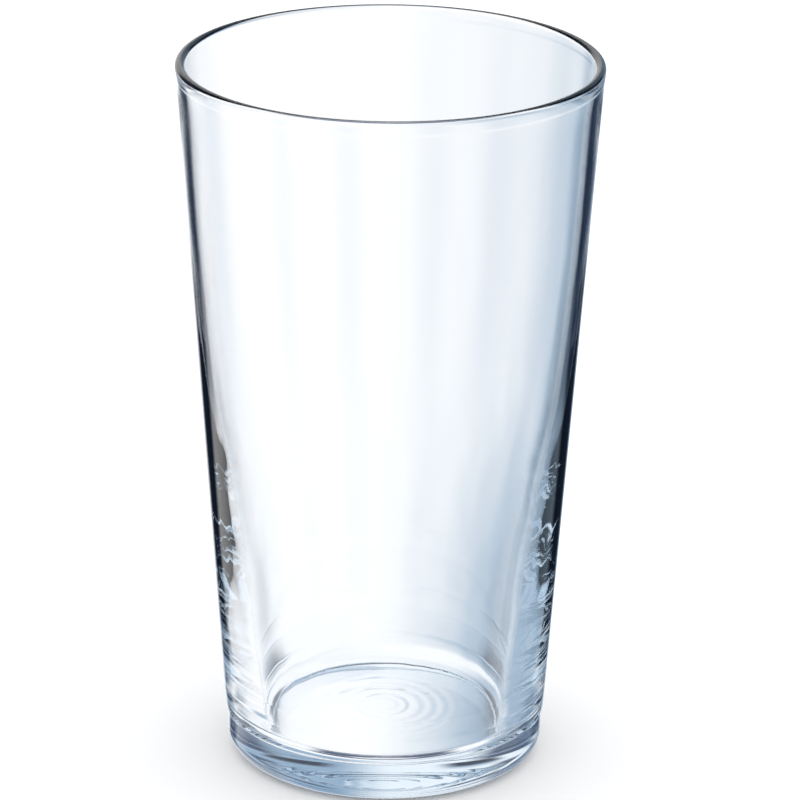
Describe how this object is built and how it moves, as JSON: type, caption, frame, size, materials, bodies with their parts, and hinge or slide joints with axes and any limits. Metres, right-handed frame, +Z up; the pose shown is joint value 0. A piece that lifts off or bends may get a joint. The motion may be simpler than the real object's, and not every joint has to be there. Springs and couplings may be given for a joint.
{
  "type": "pint glass",
  "caption": "Straight-sided conical drinking glass in clear soda-lime glass, with a slight bead at the lip and a heavy hollowed base.",
  "frame": {"origin": "on the glass's axis, in the plane of the table it stands on", "axes": "+Z up along the axis of revolution; the glass is round, so +X and +Y are free"},
  "size_m": [0.088, 0.088, 0.1514],
  "materials": {
    "clear_glass": "polished"
  },
  "bodies": {
    "root": {"glass_body": "clear_glass"}
  },
  "joints": []
}
